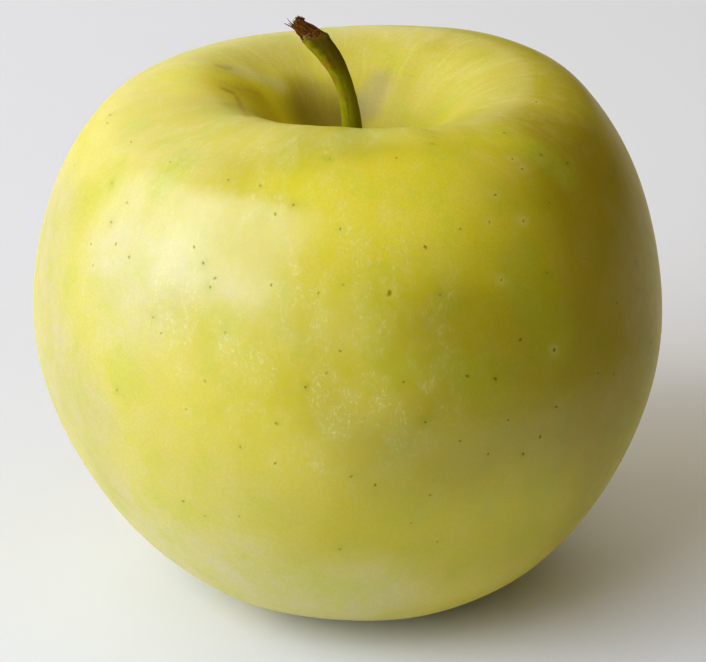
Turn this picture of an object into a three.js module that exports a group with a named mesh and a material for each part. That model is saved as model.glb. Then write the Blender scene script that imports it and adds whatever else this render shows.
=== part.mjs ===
// A whole apple: the fruit, its stem and the dried calyx underneath.
// Millimetres, +Z up. The fruit stands on z = 0, with the middle of its outline on the Z axis.
import * as THREE from 'three';
import { mergeVertices } from 'three/addons/utils/BufferGeometryUtils.js';

// ---- Driving dimensions: the fruit ----

// Control points of the half outline, [radius, height], from the stem cavity round to the basin underneath.
const OUTLINE = [
  [0.0, 50.6], [2.9, 50.9], // floor of the stem cavity
  [6.3, 53.1], [9.1, 56.5], [11.6, 60.8], // cavity wall
  [19.3, 64.3], [27.2, 62.2], // broad crest
  [30.3, 59.9], [35.2, 53.0], // shoulder
  [38.5, 41.3], [38.8, 28.7], // widest part
  [33.9, 15.5], [27.5, 5.5], // lower cheek
  [15.7, 0.0], [10.1, 0.1], // rim of the calyx basin
  [5.7, 5.2], [0.0, 8.6], // basin
];
const FRUIT_HEIGHT = 64.5; // crest above the ground, without the stem

// Uneven growth, as waves round the fruit. A swell is a share of the radius and a lift is in millimetres.
// Each wave has a number of lobes, a size, and the direction of its first crest in degrees from +X.
const CROWN_SWELL = [
  { lobes: 2, size: 0.009, crest: 52 },
  { lobes: 3, size: 0.012, crest: 69 },
];
const CROWN_LIFT = [
  { lobes: 1, size: 0.52, crest: 60 },
  { lobes: 2, size: 0.31, crest: 56 },
  { lobes: 3, size: 0.40, crest: 34 },
];
const CAVITY_SWELL = [
  { lobes: 1, size: 0.124, crest: 71 },
  { lobes: 2, size: 0.033, crest: 142 },
  { lobes: 3, size: 0.030, crest: 13 },
];
const FOOT_SWELL = [
  { lobes: 2, size: 0.011, crest: 165 },
  { lobes: 3, size: 0.003, crest: 74 },
  { lobes: 5, size: 0.010, crest: 18 },
];
const FOOT_LIFT = [
  { lobes: 1, size: 0.25, crest: 169 },
  { lobes: 2, size: 0.47, crest: 33 },
  { lobes: 3, size: 0.86, crest: 86 },
];
const CROWN_LIFT_RADIUS = 20; // the crown's lift fades out from here towards the stem
const CAVITY_SWELL_RADII = [17, 31]; // the cavity's swell is full inside the first radius and gone at the second
const FOOT_LIFT_RADII = [12, 30]; // the lower cheek's lift fades in between these radii
// Five lobes round the basin reach down to the ground and are flat where they meet it.
const RESTING_LOBES = { lobes: 5, size: 0.6, crest: 18 };
const RESTING_LOBE_RADII = [10, 14, 30]; // full from the first to the second, gone at the third

const SECTIONS_PER_SPAN = 4; // profile steps between two control points
const FRUIT_SIDES = 60;

// ---- Driving dimensions: the stem ----

const JOINT_GAP = 0.3; // between the fruit and what grows from it
const STEM_OFFSET = 0.47; // the stem stands this far to the right of the middle of the cavity
// It rises straight up from the cavity floor and bends over to the left.
const STEM_BEND_HEIGHTS = [59.4, 65.6];
const STEM_TIP = new THREE.Vector3(-5.7, 0.0, 70.4);
// Stem radius at even steps from foot to tip: a flared foot, a slim neck and a swollen end.
const STEM_RADII = [1.5, 1.3, 1.2, 1.2, 1.11, 1.02, 1.08, 1.28, 1.38, 1.2];
const STEM_RIDGES = { lobes: 3, size: 0.06, crest: 200 };
const STEM_RINGS = 22;
const STEM_SIDES = 14;

// ---- Driving dimensions: the calyx ----

const CALYX_MEAN_RADIUS = 2.7;
const CALYX_DROOP = 1.0; // how far its rim hangs below its middle
const CALYX_THICKNESS = 0.7;
const SEPALS = { lobes: 5, size: 0.28, crest: 54 };
const CALYX_STEPS = 5;
const CALYX_SIDES = 40;

// ---- Helpers ----

function smoothStep(value, low, high) {
  const x = THREE.MathUtils.clamp((value - low) / (high - low), 0, 1);
  return x * x * (3 - 2 * x);
}

// Sum of a list of waves in the direction given, in radians.
function waveHeight(waves, direction) {
  let sum = 0;
  for (const { lobes, size, crest } of waves) {
    sum += size * Math.cos(lobes * (direction - THREE.MathUtils.degToRad(crest)));
  }
  return sum;
}

// Uniform cubic B-spline through a half outline. Both ends are mirrored in the axis, so the poles are smooth.
function splineOutline(control, steps) {
  const mirrored = ([radius, height]) => [-radius, height];
  const points = [mirrored(control[1]), ...control, mirrored(control[control.length - 2])];
  const outline = [];
  for (let span = 0; span < points.length - 3; span += 1) {
    for (let step = 0; step < steps; step += 1) {
      outline.push(splinePoint(points.slice(span, span + 4), step / steps));
    }
  }
  outline.push(splinePoint(points.slice(-4), 1));
  outline[0].x = 0;
  outline[outline.length - 1].x = 0;
  return outline;
}

function splinePoint(four, t) {
  const weights = [(1 - t) ** 3, 3 * t ** 3 - 6 * t ** 2 + 4, -3 * t ** 3 + 3 * t ** 2 + 3 * t + 1, t ** 3];
  const mix = (axis) => four.reduce((sum, point, i) => sum + (weights[i] * point[axis]) / 6, 0);
  return new THREE.Vector2(mix(0), mix(1));
}

// Height of the first outline point that lies this far out from the axis.
function heightAtRadius(outline, radius) {
  return outline.find((point) => point.x >= radius).y;
}

// Turns the outline round +Z, moves every point with reshape(radius, height, direction), which returns
// the new radius and height, and closes the surface. The outline runs from top to bottom.
function turnedSolid(outline, sides, reshape) {
  const lathe = new THREE.LatheGeometry([...outline].reverse(), sides);
  lathe.rotateX(Math.PI / 2);
  const position = lathe.getAttribute('position');
  for (let i = 0; i < position.count; i += 1) {
    const radius = Math.hypot(position.getX(i), position.getY(i));
    const direction = Math.atan2(position.getY(i), position.getX(i));
    const moved = reshape(radius, position.getZ(i), direction);
    position.setXYZ(i, moved.radius * Math.cos(direction), moved.radius * Math.sin(direction), moved.height);
  }
  return closedBody(lathe);
}

// Merges shared corners and leaves out the triangles that shrink to nothing at a pole.
function closedBody(geometry) {
  geometry.deleteAttribute('normal');
  geometry.deleteAttribute('uv');
  const merged = mergeVertices(geometry, 1e-4);
  const corners = Array.from(merged.index.array);
  const kept = [];
  for (let i = 0; i < corners.length; i += 3) {
    const [a, b, c] = corners.slice(i, i + 3);
    if (a !== b && b !== c && c !== a) kept.push(a, b, c);
  }
  merged.setIndex(kept);
  merged.computeVertexNormals();
  return merged;
}

function part(name, geometry, color, roughness) {
  const mesh = new THREE.Mesh(geometry, new THREE.MeshStandardMaterial({ color, roughness, metalness: 0 }));
  mesh.name = name;
  return mesh;
}

// ---- Sub-parts ----

// Where a point of the round outline goes on the real, uneven fruit.
function fruitPoint(radius, height, direction) {
  const crown = smoothStep(height, 0, FRUIT_HEIGHT);
  const foot = 1 - crown;
  const cavityShare = 1 - smoothStep(radius, ...CAVITY_SWELL_RADII);
  const crownSwell = waveHeight(CROWN_SWELL, direction) + cavityShare * waveHeight(CAVITY_SWELL, direction);
  const swell = crown * crownSwell + foot * waveHeight(FOOT_SWELL, direction);
  const [inner, full, outer] = RESTING_LOBE_RADII;
  const lobeShare = foot * smoothStep(radius, 0, inner) * (1 - smoothStep(radius, full, outer));
  const lift = crown * smoothStep(radius, 0, CROWN_LIFT_RADIUS) * waveHeight(CROWN_LIFT, direction)
    + foot * smoothStep(radius, ...FOOT_LIFT_RADII) * waveHeight(FOOT_LIFT, direction)
    - lobeShare * waveHeight([RESTING_LOBES], direction);
  return { radius: radius * (1 + swell), height: Math.max(height + lift, 0) };
}

function makeFruit(outline) {
  return part('fruit', turnedSolid(outline, FRUIT_SIDES, fruitPoint), 0xc9c437, 0.38);
}

// A tube of varying radius along the stem's curve, with flat ends.
function makeStem(footHeight) {
  const upright = (height) => new THREE.Vector3(STEM_OFFSET, 0, height);
  const curve = new THREE.CubicBezierCurve3(upright(footHeight), ...STEM_BEND_HEIGHTS.map(upright), STEM_TIP);
  const frames = curve.computeFrenetFrames(STEM_RINGS, false);
  const radii = new THREE.SplineCurve(STEM_RADII.map((radius, i) => new THREE.Vector2(i, radius)));
  const outline = [new THREE.Vector2(0, 1)];
  for (let ring = STEM_RINGS; ring >= 0; ring -= 1) outline.push(new THREE.Vector2(1, ring / STEM_RINGS));
  outline.push(new THREE.Vector2(0, 0));
  const lathe = new THREE.LatheGeometry(outline.reverse(), STEM_SIDES);
  lathe.rotateX(Math.PI / 2);
  const position = lathe.getAttribute('position');
  const point = new THREE.Vector3();
  for (let i = 0; i < position.count; i += 1) {
    const ring = Math.round(position.getZ(i) * STEM_RINGS);
    const along = ring / STEM_RINGS;
    const direction = Math.atan2(position.getY(i), position.getX(i));
    const onAxis = Math.hypot(position.getX(i), position.getY(i)) < 0.5;
    const radius = onAxis ? 0 : radii.getPoint(along).y * (1 + waveHeight([STEM_RIDGES], direction));
    curve.getPointAt(along, point);
    point.addScaledVector(frames.normals[ring], radius * Math.cos(direction));
    point.addScaledVector(frames.binormals[ring], radius * Math.sin(direction));
    position.setXYZ(i, point.x, point.y, point.z);
  }
  return part('stem', closedBody(lathe), 0x6b6a14, 0.6);
}

// A drooping crown of five dried sepals.
function makeCalyx(topHeight) {
  const droop = (radius) => CALYX_DROOP * (radius / CALYX_MEAN_RADIUS) ** 2;
  const upper = [];
  const lower = [];
  for (let step = 0; step <= CALYX_STEPS; step += 1) {
    const radius = (CALYX_MEAN_RADIUS * step) / CALYX_STEPS;
    upper.push(new THREE.Vector2(radius, topHeight - droop(radius)));
    lower.push(new THREE.Vector2(radius, topHeight - CALYX_THICKNESS - droop(radius)));
  }
  const outline = [...upper, ...lower.reverse()];
  const reshape = (radius, height, direction) => {
    const share = smoothStep(radius, 0, CALYX_MEAN_RADIUS);
    const stretched = radius * (1 + share * waveHeight([SEPALS], direction));
    return { radius: stretched, height: height - (droop(stretched) - droop(radius)) };
  };
  return part('calyx', turnedSolid(outline, CALYX_SIDES, reshape), 0x3f3016, 0.85);
}

// ---- Assembly ----

const outline = splineOutline(OUTLINE, SECTIONS_PER_SPAN);
const stemSeat = heightAtRadius(outline, STEM_OFFSET + STEM_RADII[0]);
const basinRoof = outline[outline.length - 1].y;
const fruit = makeFruit(outline);
fruit.geometry.computeBoundingBox();
const middle = fruit.geometry.boundingBox.getCenter(new THREE.Vector3());
const apple = new THREE.Group();
apple.add(fruit, makeStem(stemSeat + JOINT_GAP), makeCalyx(basinRoof - JOINT_GAP));
apple.position.set(-middle.x, -middle.y, 0);

export default apple;
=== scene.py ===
import math
import random
from collections import namedtuple

import bpy
import numpy as np
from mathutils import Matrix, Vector, noise
from mathutils.bvhtree import BVHTree
from mathutils.kdtree import KDTree


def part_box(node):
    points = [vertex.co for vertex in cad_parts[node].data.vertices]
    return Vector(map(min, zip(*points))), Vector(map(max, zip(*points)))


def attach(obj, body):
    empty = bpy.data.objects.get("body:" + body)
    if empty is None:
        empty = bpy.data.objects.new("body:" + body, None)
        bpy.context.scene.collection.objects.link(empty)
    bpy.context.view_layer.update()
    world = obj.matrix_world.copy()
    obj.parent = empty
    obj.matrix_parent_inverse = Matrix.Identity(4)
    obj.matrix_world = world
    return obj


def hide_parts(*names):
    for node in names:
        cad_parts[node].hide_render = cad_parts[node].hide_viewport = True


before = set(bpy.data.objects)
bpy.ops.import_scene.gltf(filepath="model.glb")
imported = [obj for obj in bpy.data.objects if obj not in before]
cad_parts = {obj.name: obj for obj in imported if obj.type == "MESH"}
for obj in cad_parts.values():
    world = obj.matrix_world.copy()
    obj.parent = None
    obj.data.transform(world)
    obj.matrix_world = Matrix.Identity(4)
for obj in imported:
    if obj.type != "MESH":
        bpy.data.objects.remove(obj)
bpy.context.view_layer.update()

MM = 0.001
BODY = "root"

# ======== camera, from the photograph's outline
PHOTO_WIDTH, PHOTO_HEIGHT = 706, 662
SENSOR_WIDTH = 36.0
FOCAL_PIXELS = 2541.7
CAMERA_ELEVATION = math.radians(23.13)
CAMERA_DISTANCE = 315.18 * MM
CAMERA_TARGET = Vector((0.61, -0.33, 31.38)) * MM

# ======== the fruit's form, in millimetres
# Control points of the half outline, (radius, height), from the stem cavity to the basin underneath.
OUTLINE = (
    (0.0, 50.6), (2.9, 50.9), (6.3, 53.1), (9.1, 56.5), (11.6, 60.8), (19.3, 64.3), (27.2, 62.2),
    (30.3, 59.9), (35.2, 53.0), (38.5, 41.3), (38.8, 28.7), (33.9, 15.5), (27.5, 5.5), (15.7, 0.0),
    (10.1, 0.1), (5.7, 5.2), (0.0, 8.6),
)
FRUIT_HEIGHT = 64.5
# Waves of uneven growth: (lobes, size, direction of the first crest in degrees).
CROWN_SWELL = ((2, 0.009, 52), (3, 0.012, 69))
CROWN_LIFT = ((1, 0.52, 60), (2, 0.31, 56), (3, 0.40, 34))
CAVITY_SWELL = ((1, 0.124, 71), (2, 0.033, 142), (3, 0.030, 13))
FOOT_SWELL = ((2, 0.011, 165), (3, 0.003, 74), (5, 0.010, 18))
FOOT_LIFT = ((1, 0.25, 169), (2, 0.47, 33), (3, 0.86, 86))
RESTING_LOBES = ((5, 0.6, 18),)
CROWN_LIFT_RADIUS = 20
CAVITY_SWELL_RADII = (17, 31)
FOOT_LIFT_RADII = (12, 30)
RESTING_LOBE_RADII = (10, 14, 30)
# Gentle lumps all over, and shallow pleats round the stem cavity: (number, depth, phase in radians).
LUMP_WIDTH = 11.0
LUMP_HEIGHT = 0.16
PLEATS = ((11, 0.05, 0.4), (17, 0.03, 2.1), (26, 0.018, 4.4))
PLEAT_RADII = (6, 13, 17, 27)  # where they begin, are full, start to fade and are gone
ROWS_PER_SPAN = 16
SKIN_SIDES = 360
SKIN_MIDDLE_HEIGHT = 32.0  # polar angles over the skin are measured round this point of the core
SAME_PLACE = 1.0  # two points of the skin this close together are the same one

# ======== the stem, in millimetres
STEM_OFFSET = 0.47
STEM_FOOT_HEIGHT = 50.0  # a little under the cavity floor, so that the stem grows out of the skin
STEM_BEND_HEIGHTS = (59.4, 65.6)
STEM_TIP = (-5.7, 0.0, 70.4)
STEM_RADII = (1.5, 1.3, 1.2, 1.2, 1.11, 1.02, 1.08, 1.28, 1.38, 1.2)
CURVE_STEPS = 400  # along the stem's curve, before it is cut into even rings
STEM_RINGS = 180
STEM_SIDES = 80
STEM_RAGGED_LENGTH = 3.0  # how far back from its end the break pulls the stem out of shape
# How far the broken end stands out on its upper side, and how much further back it is on its lower side.
STEM_BREAK_LEAD = 1.0
STEM_BREAK_STEP = 1.9
STEM_TAPER = 0.4  # how much thinner its upper side gets at the end
STEM_TAPER_LENGTH = 1.6
STEM_KNOB = 2.8  # the bump on the upper side is this far from the end
FACE_SHARES = (0.90, 0.75, 0.58, 0.40, 0.20)  # rings of the broken face, as shares of its rim
FACE_DEPTH = 0.38  # how hollow it is
# Long fibres of the broken end: the root and the tip as (along, across) from the middle of the end, the bow
# of the fibre between them, and its radius at the root.
LONG_FIBRES = (
    ((0.20, -0.62), (1.90, -0.93), 0.06, 0.17),
    ((0.20, -0.40), (1.55, -0.62), -0.05, 0.13),
    ((0.25, -0.18), (2.00, -0.24), -0.22, 0.12),
    ((0.30, 0.05), (1.40, -0.02), -0.10, 0.11),
    ((0.45, 0.45), (1.25, 0.52), 0.04, 0.12),
)
SHORT_FIBRES = 64
FIBRE_STEPS = 9
FIBRE_SIDES = 7


# ======== form

def smooth_step(value, low, high):
    x = np.clip((np.asarray(value, float) - low) / (high - low), 0.0, 1.0)
    return x * x * (3 - 2 * x)


def wave_height(waves, direction):
    """Sum of waves in a direction in radians."""
    return sum(size * np.cos(lobes * (direction - math.radians(crest))) for lobes, size, crest in waves)


def spline_outline(control, steps):
    """Points of a uniform cubic B-spline, mirrored in the axis at its ends, as rows of (radius, height)."""
    control = np.array(control, float)
    mirror = np.array((-1.0, 1.0))
    points = np.vstack([control[1] * mirror, control, control[-2] * mirror])
    t = (np.arange(steps) / steps)[:, None]
    weights = ((1 - t) ** 3, 3 * t ** 3 - 6 * t ** 2 + 4, -3 * t ** 3 + 3 * t ** 2 + 3 * t + 1, t ** 3)
    spans = [
        sum(weight * points[span + k] for k, weight in enumerate(weights)) / 6
        for span in range(len(points) - 3)
    ]
    pole = (points[-3] + 4 * points[-2] + points[-1]) / 6
    outline = np.vstack([*spans, pole])
    outline[[0, -1], 0] = 0.0
    return outline


def fruit_point(radius, height, direction):
    """Where a point of the round outline goes on the uneven fruit: its new radius and height."""
    crown = smooth_step(height, 0, FRUIT_HEIGHT)
    foot = 1 - crown
    inner, full, outer = RESTING_LOBE_RADII
    cavity_share = 1 - smooth_step(radius, *CAVITY_SWELL_RADII)
    crown_swell = wave_height(CROWN_SWELL, direction) + cavity_share * wave_height(CAVITY_SWELL, direction)
    swell = crown * crown_swell + foot * wave_height(FOOT_SWELL, direction)
    lobe_share = foot * smooth_step(radius, 0, inner) * (1 - smooth_step(radius, full, outer))
    lift = (
        crown * smooth_step(radius, 0, CROWN_LIFT_RADIUS) * wave_height(CROWN_LIFT, direction)
        + foot * smooth_step(radius, *FOOT_LIFT_RADII) * wave_height(FOOT_LIFT, direction)
        - lobe_share * wave_height(RESTING_LOBES, direction)
    )
    return radius * (1 + swell), height + lift


def skin_grid():
    """Points of the smooth fruit, as an array of rows by sides by 3, and the middle of its outline."""
    outline = spline_outline(OUTLINE, ROWS_PER_SPAN)
    direction = np.arange(SKIN_SIDES) / SKIN_SIDES * math.tau
    radius, height = fruit_point(outline[:, :1], outline[:, 1:], direction[None, :])
    grid = np.stack([radius * np.cos(direction), radius * np.sin(direction), height], axis=-1)
    middle = (grid.reshape(-1, 3).max(0) + grid.reshape(-1, 3).min(0)) / 2
    middle[2] = 0.0
    return grid - middle, middle


# ======== mesh helpers

def make_object(name, vertices, faces, material, values=None):
    """A mesh object from vertices in millimetres, with named values stored at its vertices."""
    mesh = bpy.data.meshes.new(name)
    mesh.from_pydata([tuple(v) for v in np.asarray(vertices) * MM], [], faces)
    mesh.polygons.foreach_set("use_smooth", [True] * len(mesh.polygons))
    for label, numbers in (values or {}).items():
        stored = mesh.attributes.new(label, "FLOAT", "POINT").data
        stored.foreach_set("value", np.asarray(numbers, np.float32))
    mesh.materials.append(material)
    mesh.update()
    piece = bpy.data.objects.new(name, mesh)
    bpy.context.scene.collection.objects.link(piece)
    return piece


def stand_in(piece, node):
    """Makes a new piece stand for a node of the frame."""
    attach(piece, BODY)
    if node:
        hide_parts(node)


def grid_faces(rows, sides, first=0):
    """Quads between rows of points that go round, each row counted from the same side."""
    faces = []
    for row in range(rows - 1):
        for side in range(sides):
            here, after = first + row * sides, first + (row + 1) * sides
            following = (side + 1) % sides
            faces.append((here + side, after + side, after + following, here + following))
    return faces


def closed_rings(rings):
    """Vertices and faces of rings of points, anticlockwise as seen from the last one, closed at both ends."""
    rows, sides, _ = rings.shape
    vertices = np.vstack([rings.reshape(-1, 3), rings[0].mean(0), rings[-1].mean(0)])
    faces = [face[::-1] for face in grid_faces(rows, sides)]
    start, end = len(vertices) - 2, len(vertices) - 1
    last = (rows - 1) * sides
    faces += [(start, (k + 1) % sides, k) for k in range(sides)]
    faces += [(end, last + k, last + (k + 1) % sides) for k in range(sides)]
    return vertices, faces


def frames_along(path, hint=(0.0, 1.0, 0.0)):
    """At each point of a path: its direction, one square to it and to the hint, and the one left over."""
    forward = np.gradient(path, axis=0)
    forward /= np.linalg.norm(forward, axis=1)[:, None]
    out = np.cross(hint, forward)
    out /= np.linalg.norm(out, axis=1)[:, None]
    return forward, out, np.cross(forward, out)


def tube(path, thickness, width, sides, hint=(0.0, 1.0, 0.0)):
    """A closed tube with an oval section, from half its thickness and half its width along the path."""
    _, out, side = frames_along(path, hint)
    angle = np.arange(sides) / sides * math.tau
    rings = path[:, None] + out[:, None] * (np.cos(angle) * thickness[:, None])[..., None]
    rings = rings + side[:, None] * (np.sin(angle) * width[:, None])[..., None]
    return closed_rings(rings)


def even_steps(points, count):
    """Points at even steps along a curve, and how far along it each of them is."""
    length = np.concatenate([[0], np.cumsum(np.linalg.norm(np.diff(points, axis=0), axis=1))])
    along = np.linspace(0, length[-1], count)
    return np.stack([np.interp(along, length, points[:, k]) for k in range(3)], axis=1), along


def bezier(points, steps):
    a, b, c, d = (np.array(point, float) for point in points)
    t = np.linspace(0, 1, steps)[:, None]
    return (1 - t) ** 3 * a + 3 * (1 - t) ** 2 * t * b + 3 * (1 - t) * t ** 2 * c + t ** 3 * d


def rough(x, y, z=0.0):
    """Noise between about -1 and 1 for whole arrays of places."""
    x, y, z = np.broadcast_arrays(x, y, z)
    found = [noise.noise(Vector(place)) for place in zip(x.ravel(), y.ravel(), z.ravel())]
    return np.array(found).reshape(x.shape)


class Heap:
    """Vertices, faces and values at the vertices, gathered from many forms for one mesh."""

    def __init__(self, *labels):
        self.vertices = []
        self.faces = []
        self.values = {label: [] for label in labels}

    def put(self, form, **values):
        vertices, faces = form
        first = len(self.vertices)
        self.vertices += [tuple(vertex) for vertex in vertices]
        self.faces += [tuple(first + k for k in face) for face in faces]
        for label, numbers in self.values.items():
            numbers += list(np.broadcast_to(values[label], len(vertices)))

    def make(self, name, material):
        return make_object(name, self.vertices, self.faces, material, values=self.values)


# ======== node helpers

def fill(tree, node, inputs):
    """Links outputs to inputs of a node, or sets the inputs' own values."""
    for name, value in inputs.items():
        socket = node.inputs[name]
        if isinstance(value, bpy.types.NodeSocket):
            tree.links.new(value, socket)
        else:
            socket.default_value = (*value, 1.0) if socket.type == "RGBA" else value


def add(tree, kind, inputs=None, **settings):
    """A shader node with its settings and inputs filled in."""
    node = tree.nodes.new("ShaderNode" + kind)
    for name, value in settings.items():
        setattr(node, name, value)
    fill(tree, node, inputs or {})
    return node


def calc(tree, operation, *values, clamp=False):
    node = add(tree, "Math", dict(enumerate(values)), operation=operation, use_clamp=clamp)
    return node.outputs[0]


def times(tree, product, *others):
    for other in others:
        product = calc(tree, "MULTIPLY", product, other)
    return product


def vector_calc(tree, operation, *values):
    """A vector operation. The dot product and the length give a number, all others give a vector."""
    node = add(tree, "VectorMath", dict(enumerate(values)), operation=operation)
    return node.outputs["Value" if operation in ("DOT_PRODUCT", "LENGTH") else "Vector"]


def stretch(tree, vector, factor):
    node = add(tree, "VectorMath", {0: vector, "Scale": factor}, operation="SCALE")
    return node.outputs["Vector"]


def ramp(tree, value, low, high, start=0.0, end=1.0):
    """Smooth step of a value from low to high."""
    inputs = {"Value": value, "From Min": low, "From Max": high, "To Min": start, "To Max": end}
    return add(tree, "MapRange", inputs, interpolation_type="SMOOTHSTEP").outputs["Result"]


def blend(tree, share, first, second, how="MIX"):
    """Blends two colours, which are the Mix node's inputs 6 and 7 and its output 2."""
    inputs = {"Factor": share, 6: first, 7: second}
    return add(tree, "Mix", inputs, data_type="RGBA", blend_type=how).outputs[2]


def tint(tree, share, tone, shift):
    """The tone, multiplied by a share of a shift."""
    return blend(tree, share, tone, shift, how="MULTIPLY")


def grain_node(tree, vector, scale, detail=2.0, roughness=0.5, distortion=0.0):
    return add(tree, "TexNoise", {
        "Vector": vector, "Scale": scale, "Detail": detail, "Roughness": roughness, "Distortion": distortion,
    })


def grain(tree, vector, scale, **settings):
    """Noise in 0..1, with the scale in features per unit of the vector."""
    return grain_node(tree, vector, scale, **settings).outputs["Fac"]


def warped(tree, vector, scale, amount):
    """The vector, pushed about by noise by up to about the amount."""
    wander = vector_calc(tree, "SUBTRACT", grain_node(tree, vector, scale).outputs["Color"], (0.5, 0.5, 0.5))
    return vector_calc(tree, "ADD", vector, stretch(tree, wander, 2 * amount))


def distance_to_line(tree, place, start, end):
    """How far a place is from the straight line between two points."""
    axis = end - start
    offset = vector_calc(tree, "SUBTRACT", place, start)
    if axis.length > 0:
        along = vector_calc(tree, "DOT_PRODUCT", offset, axis)
        share = calc(tree, "DIVIDE", along, axis.length_squared, clamp=True)
        offset = vector_calc(tree, "SUBTRACT", offset, stretch(tree, axis, share))
    return vector_calc(tree, "LENGTH", offset)


def place_in_mm(tree):
    return stretch(tree, add(tree, "TexCoord").outputs["Object"], 1 / MM)


def vertex_value(tree, label):
    return add(tree, "Attribute", attribute_name=label).outputs["Fac"]


def combined(tree, *parts):
    return add(tree, "CombineXYZ", dict(enumerate(parts))).outputs[0]


def new_material(name, constants):
    """A material, its node tree and its shader, with the shader's constant inputs set."""
    material = bpy.data.materials.new(name)
    material.use_nodes = True
    shader = material.node_tree.nodes["Principled BSDF"]
    fill(material.node_tree, shader, constants)
    return material, material.node_tree, shader


def bumped(tree, shader, height, strength, distance):
    """Gives the shader a bump, from a height in 0..1 and a depth in millimetres, and returns the normal."""
    bump = add(tree, "Bump", {"Height": height, "Strength": strength, "Distance": distance * MM})
    fill(tree, shader, {"Normal": bump.outputs["Normal"]})
    return bump.outputs["Normal"]


# ======== camera

def make_camera():
    data = bpy.data.cameras.new("camera")
    data.sensor_width = SENSOR_WIDTH
    data.lens = FOCAL_PIXELS / PHOTO_WIDTH * SENSOR_WIDTH
    data.clip_start = 0.01
    camera = bpy.data.objects.new("camera", data)
    back = Vector((0, -math.cos(CAMERA_ELEVATION), math.sin(CAMERA_ELEVATION)))
    camera.location = CAMERA_TARGET + back * CAMERA_DISTANCE
    camera.rotation_euler = (math.pi / 2 - CAMERA_ELEVATION, 0, 0)
    bpy.context.scene.collection.objects.link(camera)
    bpy.context.scene.camera = camera


def pixel_ray(x, y):
    """Start and direction, in millimetres, of the sight line through a pixel of the photograph."""
    sine, cosine = math.sin(CAMERA_ELEVATION), math.cos(CAMERA_ELEVATION)
    start = (CAMERA_TARGET + Vector((0, -cosine, sine)) * CAMERA_DISTANCE) / MM
    across = (x - PHOTO_WIDTH / 2) / FOCAL_PIXELS
    up = (PHOTO_HEIGHT / 2 - y) / FOCAL_PIXELS
    forward = Vector((0, cosine, -sine))
    return start, (forward + Vector((across, 0, 0)) + Vector((0, sine, cosine)) * up).normalized()


# ======== skin: form

class Skin:
    """The fruit's surface as a mesh that sight lines can be cast on."""

    def __init__(self):
        self.grid, self.middle = skin_grid()
        self.grid[:, :, 2] += self.relief()
        self.grid[:, :, 2] = np.maximum(self.grid[:, :, 2], 0.0)
        rows, sides, _ = self.grid.shape
        self.vertices = np.vstack([self.grid[0, 0], self.grid[1:-1].reshape(-1, 3), self.grid[-1, 0]])
        last = len(self.vertices) - 1
        first_ring, last_ring = 1, last - sides
        self.faces = grid_faces(rows - 2, sides, first=1)
        self.faces += [(0, first_ring + k, first_ring + (k + 1) % sides) for k in range(sides)]
        self.faces += [(last, last_ring + (k + 1) % sides, last_ring + k) for k in range(sides)]
        self.tree = BVHTree.FromPolygons([tuple(v) for v in self.vertices], self.faces)

    def relief(self):
        """Gentle lumps, and shallow pleats that run into the stem cavity."""
        begin, full, fade, end = PLEAT_RADII
        lumps = LUMP_HEIGHT * rough(*np.moveaxis(self.grid, -1, 0) / LUMP_WIDTH)
        radius = np.hypot(self.grid[..., 0], self.grid[..., 1])
        direction = np.arctan2(self.grid[..., 1], self.grid[..., 0])
        pleats = sum(size * np.cos(count * direction + phase) for count, size, phase in PLEATS)
        inside = smooth_step(radius, begin, full) * (1 - smooth_step(radius, fade, end))
        upper_half = self.grid[..., 2] > SKIN_MIDDLE_HEIGHT
        return lumps * smooth_step(radius, 0, begin) + pleats * inside * upper_half

    def at_pixel(self, pixel):
        """The point of the skin that a pixel of the photograph shows."""
        start, direction = pixel_ray(*pixel)
        point, _, _, _ = self.tree.ray_cast(start, direction)
        return point

    def nearest(self, point):
        spot, normal, _, _ = self.tree.find_nearest(point)
        return spot, normal

    def seen(self, point):
        """Whether the photograph shows this point of the skin."""
        start = pixel_ray(0, 0)[0]
        hit, _, _, _ = self.tree.ray_cast(start, (point - start).normalized())
        return (hit - point).length < SAME_PLACE


# ======== skin: material

# Tones of the skin, as red, green and blue.
PALE = (0.62, 0.54, 0.06)
YELLOW = (0.66, 0.55, 0.035)
SHADE = (0.50, 0.41, 0.005)
GREEN = (0.42, 0.50, 0.010)
GREEN_SHADE = (0.36, 0.36, 0.0)
CREAM = (0.60, 0.54, 0.13)
DULL_CREAM = (0.54, 0.47, 0.12)
CLEAR = (0.65, 0.55, 0.01)
LEMON = (0.72, 0.62, 0.01)
GOLD = (0.54, 0.46, 0.0)
OLIVE = (0.40, 0.33, 0.0)
# painted shade of the side away from the window
SHADED_AMBER = (0.33, 0.25, 0.0)
UMBER = (0.18, 0.12, 0.0)
GREY_PALE = (0.62, 0.56, 0.20)
OCHRE = (0.50, 0.33, 0.0)
SCUFF_DARK = (0.25, 0.13, 0.0)
SCUFF = (0.36, 0.19, 0.015)
GREY = (0.42, 0.36, 0.13)
PALE_FLECK = (0.84, 0.79, 0.32)
# Shifts that multiply the tones.
TAN_SHIFT = (1.02, 0.985, 1.15)
GREEN_SHIFT = (0.91, 0.985, 0.60)
CREAM_SHIFT = (1.02, 1.02, 1.45)
VEIL_SHIFT = (1.0, 1.0, 1.28)
FINE_SHIFT = (0.92, 0.92, 0.95)
HALO_SHIFT = (0.80, 0.90, 0.60)
# darker towards the stem cavity: partly its own tone, partly painted shade
HOLLOW_TONE_AND_SHADE = (0.88, 0.85, 0.35)
SCARF_SKIN = ((215, 205), (300, 340))  # between these pixels of the photograph the scarf skin is thickest
DULL_CHEEK = ((618, 190), (632, 320))  # and between these the wax is thinnest
CURL_SHARE = 0.42  # how much of the pale fleck's tone the curls of scarf skin take
PATCH_SHARE = 0.12  # and how much the soft patches round them take
CURL_HEIGHT = 0.6  # against the lumps of the peel

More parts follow.
